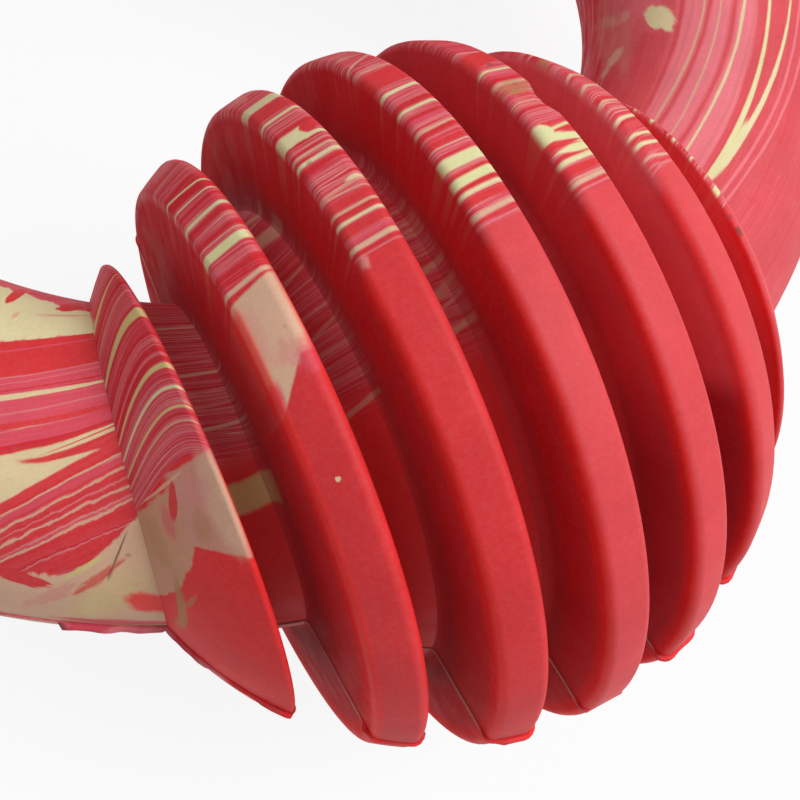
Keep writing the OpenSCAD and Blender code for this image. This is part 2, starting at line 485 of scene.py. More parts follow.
# the fins of the ball that the photograph shows: places are mm from the middle of the rim,
# and degrees round the ball from its outside over its top
shownFins = {
    1: {
        "middle": -22.1, "from": 78.5, "slope": 0.0, "arch": (0.62, 1.15), "pinkness": 0.1,
        "ground": "firstFin",
        "stripes": [
            (134.6, 0.85, "straw", 0.0, -0.45, 0.4), (115.7, 1.3, "straw", 0.0, 0.25, 0.4),
            (107.0, 0.15, "rose"), (102.6, 0.2, "rose"), (99.4, 0.6, "straw", 0.0, 0.1),
            (94.3, 0.4, "cream"), (92.4, 0.12, "rose"), (89.6, 0.3, "straw"), (86.2, 0.22, "beige"),
            (83.8, 0.14, "rose"), (80.2, 0.12, "rose"),
        ],
        "patches": [
            ("cream", 0.8,
             {"From": -1.85, "To": -0.95, "Low": 135.5, "High": 175.0, "Ragged": 0.2,
              "RaggedEnds": 0.06, "Soft": 1.2}),
            ("tan", 0.92,
             {"From": -9.0, "To": -0.4, "Low": 68.0, "LowSlope": 9.2, "High": 75.6,
              "HighSlope": 1.1, "Ragged": 1.3, "Soft": 0.8, "SoftEnds": 0.4, "RaggedEnds": 0.2,
              "GrainAlong": 1.1, "GrainAngle": 0.16}),
            ("rosyTan", 0.95,
             {"From": -1.2, "To": 9.0, "Low": 56.8, "LowSlope": -1.5, "High": 77.2, "Ragged": 0.5,
              "Soft": 0.4, "SoftEnds": 0.4, "RaggedEnds": 0.3}),
        ],
        "blobs": [
            ("beige", 0.8, (1.2, 66.5), (0.95, 10.4), 0.0, 0.22, 1.0, 0.3),
            ("olive", 0.4, (-0.25, 62.5), (0.4, 4.0), 2.0, 0.4, 1.2, 0.4),
            ("palePink", 0.5, (0.1, 71.0), (0.8, 4.0), 0.0, 0.6, 1.3, 0.5),
            ("olive", 0.35, (-2.9, 60.0), (0.4, 9.0), 3.0, 0.5, 1.4, 0.5),
            ("beige", 0.8, (-1.57, 74.9), (1.25, 0.5), 0.85, 0.4, 1.0, 0.25),
            ("pink", 0.55, (-1.9, 66.0), (0.3, 5.0), 4.5, 0.5, 1.3, 0.35),
        ],
        "upright": [
            ("plain", 0.95, (70.5, -1.25), (5.0, 0.24), 0.07, 0.3, 1.2, 0.15),
            ("olive", 0.75, (34.0, -2.9), (13.5, 0.2), 0.02, 0.25, 1.3, 0.35),
            ("olive", 0.6, (39.0, -2.3), (3.6, 0.13), 0.1, 0.3, 1.2, 0.35),
            ("olive", 0.5, (21.0, -3.3), (5.0, 0.16), 0.03, 0.3, 1.2, 0.35),
        ],
        "specks": [("dirt", 0.5, 0.4, (-20.35, -39.9, 17.0))],
    },
    2: {
        "paintedLight": ("paintedLitUpperFace", 0.0, 70.0, 100.0), "from": 96.9, "slope": -0.35, "pinkness": 0.0,
        "stripes": [
            (129.3, 0.15, "rose", -1.3), (125.0, 0.34, "cream", -0.85), (122.9, 1.3, "red", -0.5),
            (120.7, 0.22, "cream", -0.3), (115.3, 0.42, "cream"), (113.4, 0.7, "red"),
            (111.2, 0.1, "rose"), (109.4, 0.5, "red"), (108.3, 0.13, "beige"),
            (106.1, 1.0, "yellow", 0.1), (103.3, 0.1, "rose"), (102.4, 0.15, "rose"),
            (98.2, 0.42, "beige", 0.4), (97.1, 0.4, "red", 0.4),
        ],
        "patches": [
            ("beige", 1.0,
             {"Low": 83.4, "High": 96.9, "HighSlope": 0.4, "Ragged": 0.12, "Soft": 0.35,
              "GrainAlong": 1.6}),
            ("beige", 1.0,
             {"Low": 81.4, "LowSlope": 3.3, "High": 84.6, "Ragged": 0.25, "Soft": 0.4, "From": -3.0,
              "To": 1.0}),
        ],
        "blobs": [
            ("pink", 0.85, (-1.5, 79.0), (0.42, 2.6), 0.0, 0.5, 1.4, 0.45),
            ("pink", 0.75, (1.25, 82.6), (0.8, 2.6), 0.6, 0.4, 1.0, 0.45),
            ("palePink", 0.55, (0.1, 84.5), (0.7, 2.2), 0.0, 0.6, 1.2, 0.5),
            ("palePink", 0.45, (-1.2, 90.0), (0.5, 5.0), 0.0, 0.7, 1.4, 0.6),
            ("palePink", 0.4, (0.2, 142.0), (0.9, 3.0), 0.0, 0.7, 1.2, 0.5),
        ],
        "specks": [
            ("tan", 0.7, 0.16, (-14.1, -48.3, 23.6)), ("cream", 0.85, 0.2, (-14.8, -57.5, 20.9)),
        ],
    },
    3: {
        "paintedLight": ("paintedLitUpperFace", 0.0, 70.0, 100.0), "from": 90.9, "slope": 0.05, "pinkness": 0.4,
        "stripes": [
            (130.9, 1.65, "cream"), (126.4, 1.9, "plain"), (123.1, 0.4, "cream"),
            (120.4, 0.12, "rose"), (119.4, 0.12, "rose"), (118.4, 0.3, "red"), (112.7, 0.1, "rose"),
            (111.0, 0.22, "beige"), (109.3, 0.4, "cream"), (107.8, 0.55, "red"),
            (106.2, 0.1, "rose"), (105.1, 0.15, "rose"), (103.1, 0.12, "rose"),
            (102.0, 0.1, "beige"), (101.2, 0.1, "beige", -0.25), (99.7, 0.7, "plain"),
            (98.4, 0.22, "beige"), (97.5, 0.3, "plain"), (96.7, 0.28, "cream"),
            (95.1, 0.7, "plain"), (93.6, 0.3, "pink"), (92.6, 0.42, "beige"), (91.9, 0.2, "red"),
            (91.2, 0.13, "rose"),
        ],
        "patches": [
            ("cream", 1.0,
             {"Low": 114.0, "High": 117.4, "From": -9.0, "To": 0.3, "Ragged": 0.18, "Soft": 0.3,
              "RaggedEnds": 0.1}),
            ("cream", 1.0,
             {"Low": 113.9, "High": 115.0, "HighSlope": -0.25, "From": 0.0, "To": 9.0,
              "Ragged": 0.1, "Soft": 0.2, "RaggedEnds": 0.0}),
        ],
        "blobs": [
            ("plain", 1.0, (0.75, 116.4), (0.75, 1.25), 0.0, 0.25, 1.0, 0.15),
            ("cream", 0.85, (0.9, 102.75), (0.6, 0.4), 0.0, 0.5, 1.6, 0.4),
            ("palePink", 0.75, (-1.25, 90.2), (0.26, 1.0), 0.6, 0.5, 1.4, 0.5),
            ("palePink", 0.5, (-0.4, 140.5), (0.5, 3.6), 3.0, 0.5, 1.2, 0.5),
        ],
        "specks": [("dirt", 0.35, 0.22, (-8.1, -38.9, 24.7))],
    },
    4: {
        "ground": "coral", "paintedLight": ("paintedLitUpperFace", 0.0, 70.0, 100.0), "from": 87.7, "slope": 0.25,
        "pinkness": 1.2,
        "stripes": [
            (128.4, 0.3, "beige", 1.5), (119.6, 2.6, "plain"), (116.9, 0.1, "rose"),
            (115.1, 0.42, "cream"), (112.4, 0.15, "rose"), (110.8, 0.25, "red"),
            (109.9, 0.34, "cream"), (107.0, 0.5, "pink"), (104.9, 0.24, "beige"),
            (103.9, 0.3, "red"), (103.2, 0.15, "rose"), (101.9, 0.5, "plain"),
            (100.4, 0.12, "rose"), (98.2, 0.98, "yellow"), (96.8, 0.25, "rose"),
            (96.3, 0.2, "plain"), (95.0, 0.75, "yellow"), (93.8, 0.3, "red"), (93.0, 0.32, "cream"),
            (91.6, 0.6, "plain"), (89.6, 0.42, "beige"), (88.8, 0.2, "plain"), (88.0, 0.14, "rose"),
        ],
        "blobs": [
            ("palePink", 0.65, (0.15, 124.2), (0.8, 1.0), 0.4, 0.6, 1.3, 0.35),
            ("palePink", 0.5, (-0.3, 132.4), (0.7, 1.3), 0.8, 0.6, 1.3, 0.4),
        ],
        "specks": [("dirt", 0.5, 0.3, (-0.6, -31.2, 21.9))],
    },
    5: {
        "ground": "coral", "face": "paintedShadeFace", "paintedLight": ("paintedLitFace", 0.0, 44.0, 66.0), "from": 88.0,
        "slope": 0.45, "pinkness": 0.7,
        "stripes": [
            (119.6, 2.2, "plain", 0.8), (115.1, 0.28, "cream", 0.1), (110.9, 0.3, "beige"),
            (106.6, 0.12, "rose"), (105.6, 0.14, "beige"), (104.8, 0.1, "rose"),
            (103.4, 0.12, "rose"), (102.4, 0.16, "rose"), (101.3, 0.12, "rose"),
            (100.3, 0.3, "plain"), (98.6, 0.75, "yellow", 0.5, -0.25),
            (97.3, 0.75, "yellow", -0.45), (98.5, 0.28, "plain", 0.0, 0.22),
            (96.2, 0.22, "plain", -0.4), (94.8, 0.6, "yellow", -0.15, 0.42),
            (95.7, 0.25, "plain", -0.3, -0.2), (93.8, 0.16, "plain"), (93.1, 0.4, "cream"),
            (91.5, 0.7, "plain"), (89.7, 0.36, "beige"), (88.9, 0.2, "plain"), (88.5, 0.12, "rose"),
        ],
        "blobs": [
            ("yellow", 1.0, (-1.05, 98.4), (0.9, 1.7), 0.3, 0.25, 1.0, 0.15),
            ("olive", 0.5, (0.0, 109.2), (1.4, 1.9), 0.5, 0.5, 1.4, 0.45),
        ],
        "specks": [
            ("dirt", 0.55, 0.3, (7.4, -35.5, 23.6)), ("olive", 0.7, 0.35, (7.0, -39.2, 25.2)),
            ("dirt", 0.3, 0.2, (7.5, -38.4, 24.9)),
        ],
    },
    6: {
        "ground": "coral", "face": "paintedShadeFace", "paintedLight": ("paintedBrightFace", 22.0, 24.0, 33.0),
        "from": 90.2, "slope": 1.2, "pinkness": 0.9,
        "stripes": [
            (117.5, 0.4, "beige", 0.6), (112.9, 0.36, "beige", 0.5), (110.0, 0.15, "rose", 0.3),
            (107.3, 0.3, "beige", 0.15), (105.0, 0.12, "rose"), (102.3, 0.36, "cream"),
            (100.3, 0.8, "coral"), (98.0, 0.34, "cream", -0.3), (96.9, 0.3, "plain", -0.3),
            (95.7, 0.4, "cream", -0.4), (94.3, 0.5, "coral", -0.4), (92.6, 0.26, "beige", -0.6),
            (91.6, 0.2, "plain", -0.6), (90.9, 0.12, "rose", -0.6),
        ],
        "blobs": [("olive", 0.7, (-1.8, 122.5), (1.2, 2.0), 1.2, 0.4, 1.2, 0.3)],
    },
    7: {
        "ground": "coral", "face": "endFace", "middle": 21.9, "from": 84.8, "slope": 1.8,
        "pinkness": 0.6,
        "stripes": [
            (121.9, 0.6, "beige"), (115.2, 0.6, "cream"), (106.5, 0.55, "cream"),
            (99.7, 0.4, "cream"), (93.9, 0.25, "beige"), (89.4, 1.2, "yellow"),
        ],
        "specks": [
            ("dirt", 0.75, 0.42, (20.5, -51.8, 17.7)), ("dirt", 0.6, 0.25, (20.4, -49.8, 18.2)),
            ("dirt", 0.5, 0.22, (20.4, -50.6, 17.9)),
        ],
    },
}

finLook = {
    "seed": 2.3,
    "ripple": 1.2,
    "archAt": 0.01,          # mm to each side of an end fin's middle where its arch changes
    "stripeEdge": 0.3,       # degrees to each side of the last stripe
    "paintedGlowFrom": 4.0,         # degrees under it where the painted glow is full
    "faceStripes": (2.0, 0.02, 0.1),     # from how far over the core, the least and the most
    "endDepth": 0.6,         # an end fin's rim tones reach this share as deep
    # mm from the ball's outline, a rim's edge or the core where a tone starts and where it is
    # full, and then its least and most
    "rim": (0.8, 0.15),
    "paintedFaceGlow": (1.9, 0.5, 0.0, 0.7),
    "paintedRimGlow": (0.5, 0.12, 0.0, 0.75),
    "root": (1.2, 0.5),
    "darkerFoot": (3.0, 0.4, 0.0, 0.45),
}


def shownFinRubber(number):
    settings = shownFins[number]
    isEnd = number in (1, toy["fins"])
    material, shader, coordinates = newRubber(f"shownFin_{number}")
    place = useGroup(flowPlace, Place=coordinates, Turn=0.0)
    ballAlong, ballAngle, radius = place["BallAlong"], place["BallAngle"], place["BallRadius"]
    middle = settings.get("middle", (number - toy["middleFin"]) * toy["finPitch"])
    along = ballAlong - middle
    angle = ballAngle - along * settings["slope"]
    if "arch" in settings:  # on an end fin the stripes sink to both sides
        sink = along * along
        edge = finLook["archAt"]
        angle = sink.times(remap(along, -edge, edge, *settings["arch"], kind="LINEAR"), angle)
    fine = useGroup(fineStripes, Angle=angle, Along=ballAlong, Seed=finLook["seed"] * number,
                    Ripple=finLook["ripple"], Pinkness=settings["pinkness"])
    colour = layStripes(fine["Color"], fine["Angle"], along, settings["stripes"])
    stripesFrom, soft = settings["from"], finLook["stripeEdge"]
    striped = remap(fine["Angle"], stripesFrom - soft, stripesFrom + soft)
    colour = blendColours(striped, marble[settings.get("ground", "plain")], colour)
    colour = layPatches(colour, along, ballAngle, settings.get("patches", []))
    colour = layBlobs(colour, along, ballAngle, settings.get("blobs", []))
    colour = layBlobs(colour, ballAngle, along, settings.get("upright", []))
    colour = laySpecks(colour, coordinates, settings.get("specks", []))

    def underRim(start, full, *levels):
        depth = finLook["endDepth"] if isEnd else 1.0
        outline = toy["ballRadius"]
        return remap(radius, outline - start * depth, outline - full * depth, *levels)

    def overCore(start, full, *levels):
        return remap(radius, toy["coreRadius"] + start, toy["coreRadius"] + full, *levels)

    onRim = underRim(*finLook["rim"])
    # a fin's face may take a dimmer, pinker copy of the face tone, which is painted shade
    face = marble[settings.get("face", "face")]
    if "paintedLight" in settings:  # painted light: a brighter tone on the faces round one angle, full as far as near from it
        tone, paintedLightMiddle, near, far = settings["paintedLight"]
        off = calc("ABSOLUTE", ballAngle - paintedLightMiddle)
        face = blendColours(remap(off, near, far), face, marble[tone])
    # the stripes run on faintly down the faces, most near the rim
    start, least, most = finLook["faceStripes"]
    share = remap(radius, toy["coreRadius"] + start, toy["ballRadius"], least, most)
    faint = blendColours(share, face, colour)
    # painted light: the rim's plain edges are painted a deeper, brighter red, which stands in for
    # light that comes through the rubber
    plain = remap(fine["Angle"], stripesFrom - soft, stripesFrom - finLook["paintedGlowFrom"])
    faint = blendColours(underRim(*finLook["paintedFaceGlow"]) * plain, faint, marble["glow"])
    if not isEnd:
        start, full, least, most = finLook["paintedRimGlow"]
        half = toy["finWidth"] / 2
        paintedRimGlow = remap(along, start - half, full - half, least, most)
        colour = blendColours(paintedRimGlow * plain, colour, marble["glow"])
    colour = blendColours(onRim, faint, colour)
    atRoot = overCore(*finLook["root"])
    groove = useGroup(grooveMarbling, Place=coordinates)["Color"]
    colour = blendColours(atRoot, colour, groove)
    # the colour is darker and duller in the corners at the foot of the fins
    colour = blendColours(overCore(*finLook["darkerFoot"]), colour, marble["darkerFoot"])
    finishRubber(shader, coordinates, colour, rubber["faceGloss"], onRim * rubber["rimSheen"])
    return material


shownCore = {
    "neck": (-15.0, -17.0),  # mm along where the core's marbling gives way to the tube's
    "neckZero": 22.0,  # degrees from the place on the neck that its stripes are measured from
    "neckSlope": 0.3,
    "fine": {"Seed": 5.0, "Ripple": 1.6, "Pinkness": 0.5},
    "thick": {"Seed": 14.0, "Ripple": 3.0, "Closeness": 12.0, "Pinkness": 0.9},
    "thickStretch": 0.5,  # broader stripes, drawn out longer, and how much of them shows
    "thickShare": 0.7,
    "stripedFrom": (70.0, 82.0),  # degrees round the ball where its stripes begin
    "stripedAlong": (3.0, 0.5, 0.25, 0.95),  # and mm along where they grow faint, and how faint
    "stripes": [
        (122.8, 0.6, "beige", 0.3), (119.0, 0.3, "rose"), (109.2, 0.3, "rose", 0.4),
        (105.0, 0.3, "rose", 0.4), (100.2, 0.6, "beige", 0.3), (97.0, 0.3, "rose"),
        (93.4, 0.5, "rose", 0.4), (88.5, 0.4, "rose", 0.4), (81.0, 0.5, "beige", 0.5),
    ],
    "patches": [
        ("straw", 0.9,
         {"From": -21.0, "To": -15.8, "Low": 57.6, "High": 68.0, "Ragged": 0.8, "Soft": 1.0,
          "RaggedEnds": 0.1}),
        ("beige", 0.9,
         {"From": -13.0, "To": -7.6, "Low": 107.1, "LowSlope": -1.3, "High": 112.3,
          "HighSlope": -1.3, "Ragged": 0.5, "Soft": 0.8, "RaggedEnds": 0.2}),
    ],
    "blobs": [
        ("beige", 0.75, (-9.4, 133.2), (1.8, 1.2), -2.3, 0.4, 1.2, 0.3),
        ("beige", 0.4, (-10.1, 107.2), (1.8, 0.4), 0.9, 0.4, 1.2, 0.6),
        ("beige", 0.4, (-10.0, 92.3), (1.8, 0.45), 0.9, 0.4, 1.2, 0.6),
        ("beige", 0.65, (-10.3, 73.8), (2.4, 0.6), 1.0, 0.4, 1.2, 0.5),
        ("beige", 0.45, (-2.4, 106.3), (1.8, 0.4), 0.0, 0.4, 1.2, 0.6),
        ("beige", 0.5, (-2.6, 99.6), (2.0, 0.45), -0.2, 0.4, 1.2, 0.6),
        ("beige", 0.65, (-2.9, 92.0), (1.9, 0.75), 0.5, 0.4, 1.2, 0.5),
        ("beige", 0.5, (-2.7, 87.4), (1.9, 0.8), 1.0, 0.4, 1.2, 0.6),
        ("beige", 0.5, (-2.9, 84.2), (1.8, 0.35), 0.8, 0.4, 1.2, 0.6),
        ("beige", 0.6, (-3.0, 79.3), (2.0, 0.65), 0.8, 0.4, 1.2, 0.5),
    ],
}


def makeGrooveMarbling():
    # the marbling of the core, which runs on up the root corners of the fins
    group, given, result = newGroup("grooveMarbling", {"Place": None}, "Color")
    place = useGroup(flowPlace, Place=given["Place"], Turn=0.0)
    ballAlong, ballAngle = place["BallAlong"], place["BallAngle"]
    # on the neck the stripes follow the tube, and on the round core they follow the ball
    onNeck = remap(ballAlong, *shownCore["neck"])
    along = place["RingAngle"] + shownCore["neckZero"]
    neckAngle = place["TubeAngle"] - along * shownCore["neckSlope"]
    angle = remap(onNeck, 0.0, 1.0, ballAngle, neckAngle, kind="LINEAR")
    fine = useGroup(fineStripes, Angle=angle, Along=ballAlong, **shownCore["fine"])
    laid = layStripes(fine["Color"], fine["Angle"], along, shownCore["stripes"])
    thick = useGroup(fineStripes, Angle=angle, Along=ballAlong * shownCore["thickStretch"],
                     **shownCore["thick"])
    mixed = blendColours(shownCore["thickShare"], fine["Color"], thick["Color"])
    colour = blendColours(onNeck, mixed, laid)
    striped = remap(ballAngle, *shownCore["stripedFrom"])
    striped = striped * remap(ballAlong, *shownCore["stripedAlong"])
    # where it has no stripes, the core takes a brighter copy of the red, which is painted light in
    # the deep grooves
    colour = blendColours(striped, marble["groove"], colour)
    colour = layPatches(colour, ballAlong, ballAngle, shownCore["patches"])
    colour = layBlobs(colour, ballAlong, ballAngle, shownCore["blobs"])
    plug(result["Color"], colour)
    return group


grooveMarbling = makeGrooveMarbling()


def shownCoreRubber():
    material, shader, coordinates = newRubber("shownCore")
    colour = useGroup(grooveMarbling, Place=coordinates)["Color"]
    finishRubber(shader, coordinates, colour)
    return material


otherBall = {
    "seeds": {"b": 23.0, "c": 31.0},
    "slope": 0.15,
    "fine": {"Ripple": 2.0, "Pinkness": 0.4},
    "thick": {"Ripple": 3.0, "Closeness": 14.0, "Pinkness": 0.2},
    "thickSeed": 9.0,
    "thickStretch": 0.5,  # broader stripes, drawn out longer
    "thickShare": 0.35,
    "stripedFrom": (84.0, 88.0),
    "rim": (1.0, 0.25),  # mm under the outline where a rim's own tones start and are full
    "faceStripes": 0.06,
    "stripes": [
        (97.0, 0.9, "cream", 0.05), (93.0, 0.4, "beige"), (104.5, 0.5, "cream", -0.04),
        (112.0, 1.2, "yellow", 0.1, -0.05), (121.0, 0.6, "beige"), (88.5, 0.4, "beige"),
        (131.0, 1.1, "cream", -0.1),
    ],
    "blobs": [
        ("beige", 1.0, (14.0, 70.0), (3.0, 8.0), 1.0, 0.4, 1.3, 0.1),
        ("beige", 1.0, (-21.0, 44.0), (3.4, 12.0), 2.0, 0.45, 1.4, 0.1),
        ("cream", 1.0, (-6.0, 8.0), (3.0, 9.0), -1.0, 0.4, 1.3, 0.1),
    ],
}


def ballRubber(letter, seed):
    # the balls that the photograph doesn't show, cores and fins alike
    material, shader, coordinates = newRubber("marbledBall_" + letter)
    place = useGroup(flowPlace, Place=coordinates, Turn=toy["turns"][letter])
    along, ballAngle = place["BallAlong"], place["BallAngle"]
    angle = ballAngle - along * otherBall["slope"]
    fine = useGroup(fineStripes, Angle=angle, Along=along, Seed=seed, **otherBall["fine"])
    thick = useGroup(fineStripes, Angle=angle, Along=along * otherBall["thickStretch"],
                     Seed=seed + otherBall["thickSeed"], **otherBall["thick"])
    colour = blendColours(otherBall["thickShare"], fine["Color"], thick["Color"])
    colour = layStripes(colour, angle, along, otherBall["stripes"])
    striped = remap(ballAngle, *otherBall["stripedFrom"])
    colour = blendColours(striped, marble["plain"], colour)
    colour = layBlobs(colour, along, ballAngle, otherBall["blobs"])
    start, full = otherBall["rim"]
    onRim = remap(place["BallRadius"], toy["ballRadius"] - start, toy["ballRadius"] - full)
    faint = blendColours(otherBall["faceStripes"], marble["face"], colour)
    finishRubber(shader, coordinates, blendColours(onRim, faint, colour))
    return material


# the tubes: places are degrees along the ring from zero, and degrees round the tube
leftTube = {
    "zero": -33.0, "seed": 3.0, "closeness": 17.0,
    # how its stripes spread out, in degrees along the tube and round it
    "fan": {
        "nearest": -4.6, "spread": (-0.1, 1.9), "parting": (70.5, 2.8),
        "partingHalf": (-2.4, -4.1, 4.5, 30.0), "underside": (-60.0, -10.0), "lean": 1.65,
        "curlAlong": 0.9, "curlRound": 0.16, "curlSeed": 6.0, "curl": (64.0, 50.0, 0.6, 3.6),
    },
    "stripes": [
        (141.0, 7.0, "pink"), (115.0, 1.9, "plain"), (113.3, 0.3, "rose"), (106.6, 5.6, "plain"),
        (101.0, 0.35, "rose"), (97.6, 3.0, "pink"), (98.6, 0.25, "rose"), (95.6, 0.3, "red"),
        (93.2, 0.75, "cream", 0.0, -0.06), (88.2, 4.0, "pink"), (87.8, 0.35, "rose"),
        (83.0, 1.0, "plain"), (79.2, 2.2, "pink"), (61.3, 2.4, "plain"), (58.4, 0.42, "beige"),
        (56.2, 1.3, "pink"), (54.9, 0.5, "plain"), (53.5, 0.45, "beige"), (51.8, 1.1, "plain"),
        (50.0, 0.3, "rose"), (48.5, 1.0, "plain"), (46.9, 0.5, "beige"), (45.0, 1.2, "plain"),
        (43.4, 0.25, "rose"), (41.6, 0.5, "beige"), (38.4, 2.6, "plain"), (34.0, 0.4, "rose"),
        (30.0, 3.4, "plain"),
    ],
    "fanned": [
        ("cream", 1.0,
         {"From": -13.0, "To": 3.4, "Low": 63.7, "High": 74.2, "HighSlope": 0.1, "Ragged": 0.25,
          "Soft": 0.5, "SoftEnds": 0.6, "RaggedEnds": 0.3}),
        ("cream", 1.0,
         {"From": 3.0, "To": 9.0, "Low": 69.6, "High": 74.0, "Ragged": 0.12, "Soft": 0.4,
          "SoftEnds": 0.6}),
        ("plain", 1.0,
         {"From": -1.9, "To": 9.0, "Low": 69.0, "LowSlope": -1.5, "High": 71.2, "HighSlope": -0.45,
          "Ragged": 0.15, "Soft": 0.45, "SoftEnds": 0.8}),
        ("plain", 1.0,
         {"From": -0.4, "To": 9.0, "Low": 71.9, "LowSlope": -0.05, "High": 72.1, "HighSlope": 0.14,
          "Ragged": 0.06, "Soft": 0.3, "SoftEnds": 0.8}),
    ],
    "patches": [
        ("cream", 1.0,
         {"From": -12.5, "To": 9.0, "Low": 117.2, "LowSlope": 1.75, "High": 133.5,
          "HighSlope": -0.7, "Ragged": 2.6, "Soft": 0.9, "GrainAlong": 0.5, "GrainAngle": 0.02,
          "Seed": 2.0, "RaggedEnds": 0.6}),
        ("pink", 1.0,
         {"From": -9.0, "To": 5.0, "Low": 103.0, "LowSlope": 1.75, "High": 117.0, "HighSlope": 1.75,
          "Ragged": 0.0, "Soft": 0.4}),
        ("plain", 1.0,
         {"From": -9.0, "To": 5.0, "Low": 102.0, "LowSlope": 1.75, "High": 112.9, "HighSlope": 1.9,
          "Ragged": 0.12, "Soft": 0.4}),
        ("plain", 1.0,
         {"From": -9.0, "To": 5.0, "Low": 113.7, "LowSlope": 1.9, "High": 116.8, "HighSlope": 1.75,
          "Ragged": 0.08, "Soft": 0.35}),
        ("beige", 1.0,
         {"From": -16.0, "To": 9.0, "Low": -40.0, "High": 29.5, "HighSlope": 0.4, "Ragged": 2.6,
          "Soft": 0.8, "GrainAlong": 0.7, "GrainAngle": 0.06, "RaggedEnds": 1.0, "Seed": 4.0}),
        ("beige", 1.0,
         {"From": 1.6, "To": 9.5, "Low": 10.0, "High": 17.0, "HighSlope": 5.8, "Ragged": 1.2,
          "Soft": 0.9, "RaggedEnds": 0.0, "GrainAlong": 0.9, "Seed": 7.0}),
    ],
    "blobs": [
        ("plain", 1.0, (-7.9, 136.0), (0.6, 9.0), -3.0, 0.25, 1.2, 0.1),
        ("plain", 1.0, (-2.2, 135.5), (1.1, 5.5), 2.0, 0.4, 1.4, 0.12),
        ("plain", 1.0, (0.6, 137.0), (1.3, 5.0), 0.0, 0.4, 1.4, 0.12),
        ("palePink", 0.6, (-2.4, 127.0), (2.0, 0.9), 1.4, 0.7, 1.6, 0.3),
        ("palePink", 0.5, (-6.3, 121.0), (0.22, 2.2), 0.0, 0.5, 1.2, 0.4),
        ("straw", 0.55, (4.6, 22.0), (2.4, 10.0), 4.0, 0.6, 1.5, 0.6),
        ("palePink", 0.6, (1.2, 21.0), (1.4, 3.4), 4.0, 0.6, 1.4, 0.35),
        ("plain", 0.75, (3.9, 30.0), (1.5, 2.2), 5.0, 0.7, 1.6, 0.3),
        ("straw", 0.9, (2.9, 34.0), (1.3, 1.3), 4.0, 0.7, 1.5, 0.25),
        ("palePink", 0.45, (-0.6, 13.0), (0.4, 3.4), 6.0, 0.4, 1.2, 0.5),
        ("bright", 0.9, (7.0, 19.0), (1.35, 5.6), -1.0, 0.3, 1.2, 0.3),
        ("plain", 1.0, (-1.0, 27.6), (2.0, 3.2), -1.2, 0.35, 1.4, 0.15),
        ("pink", 0.85, (5.5, 4.0), (4.2, 2.4), 0.0, 0.5, 2.0, 0.3),
        ("dirt", 0.35, (5.9, 40.6), (0.2, 0.8), 0.0, 0.4, 1.0, 0.5),
        ("plain", 1.0, (-13.6, 119.0), (2.8, 9.0), 1.5, 0.5, 1.6, 0.12),
        ("pink", 1.0, (-14.2, 101.0), (2.6, 5.0), 1.0, 0.5, 1.6, 0.12),
    ],
    "upright": [
        ("dirt", 0.75, (41.6, 5.3), (7.6, 0.075), 0.065, 0.25, 1.0, 0.4),
        ("dirt", 0.45, (33.0, 4.75), (2.6, 0.13), 0.05, 0.4, 1.0, 0.5),
    ],
}

rightTube = {
    "zero": 40.0, "seed": 11.0, "closeness": 15.0,
    "stripes": [
        (104.0, 18.0, "softPink", 0.0, 0.0, 2.5), (120.0, 1.2, "warmPink", -0.1, 0.0, 1.0),
        (116.6, 0.5, "rose", -0.2, 0.0, 0.5), (112.6, 0.55, "beige", -0.27, 0.0, 0.3),
        (110.3, 1.0, "warmPink", -0.27, 0.0, 1.0), (104.5, 0.4, "beige", -0.2, 0.0, 0.3),
        (99.0, 1.1, "warmPink", -0.2, 0.0, 1.2), (95.4, 0.65, "cream", -0.17, 0.0, 0.3),
        (90.0, 0.5, "rose", -0.1, 0.0, 0.5), (87.0, 0.6, "warmPink", -0.1, 0.0, 0.8),
        (134.0, 12.5, "warmPink", 0.0, 0.0, 2.5), (76.0, 11.5, "warmPink", 0.0, 0.0, 1.5),
        (20.0, 44.0, "warmPink", 0.0, 0.0, 1.5), (72.6, 0.6, "softPink", -0.4, 0.0, 0.6),
        (68.5, 0.5, "softPink", -0.45, 0.0, 0.6),
    ],
    "patches": [
        ("yellow", 1.0,
         {"From": -11.0, "To": 22.0, "Low": 82.2, "LowSlope": -0.05, "High": 84.3,
          "HighSlope": -0.12, "Ragged": 0.12, "Soft": 0.4, "SoftEnds": 0.8, "GrainAlong": 0.3}),
        ("yellow", 1.0,
         {"From": -10.6, "To": -2.6, "Low": 77.6, "LowSlope": -0.46, "High": 84.0,
          "HighSlope": -0.05, "Ragged": 0.2, "Soft": 0.5, "SoftEnds": 0.8, "GrainAlong": 0.3,
          "RaggedEnds": 0.1}),
        ("cream", 1.0,
         {"From": -9.0, "To": 15.0, "Low": 77.2, "LowSlope": -0.42, "High": 79.3, "HighSlope": -0.5,
          "Ragged": 0.2, "Soft": 0.4, "SoftEnds": 1.5, "GrainAlong": 0.3}),
    ],
    "blobs": [
        ("warmPink", 1.0, (6.0, 80.2), (9.0, 1.0), -0.2, 0.2, 1.5, 0.25),
        ("palePink", 0.5, (10.5, 150.0), (8.0, 11.0), 1.0, 0.7, 1.6, 0.5),
        ("softPink", 0.6, (14.0, 140.0), (5.0, 12.0), 2.0, 0.6, 1.6, 0.6),
        ("cream", 1.0, (10.0, 128.0), (2.5, 5.6), 2.0, 0.36, 0.8, 0.14),
        ("beige", 0.9, (5.6, 147.5), (1.4, 3.6), -1.0, 0.35, 1.2, 0.35),
        ("beige", 0.7, (3.4, 151.0), (0.9, 2.4), 0.0, 0.35, 1.2, 0.4),
        ("beige", 0.55, (12.6, 146.0), (1.0, 2.6), 0.0, 0.4, 1.2, 0.5),
        ("beige", 0.5, (13.6, 156.0), (1.6, 4.0), 3.0, 0.5, 1.2, 0.5),
        ("cream", 0.85, (4.6, 171.0), (3.4, 2.2), 4.4, 0.2, 1.2, 0.3),
    ],
    "specks": [("olive", 0.9, 0.35, (21.9, -42.2, 11.7))],
}

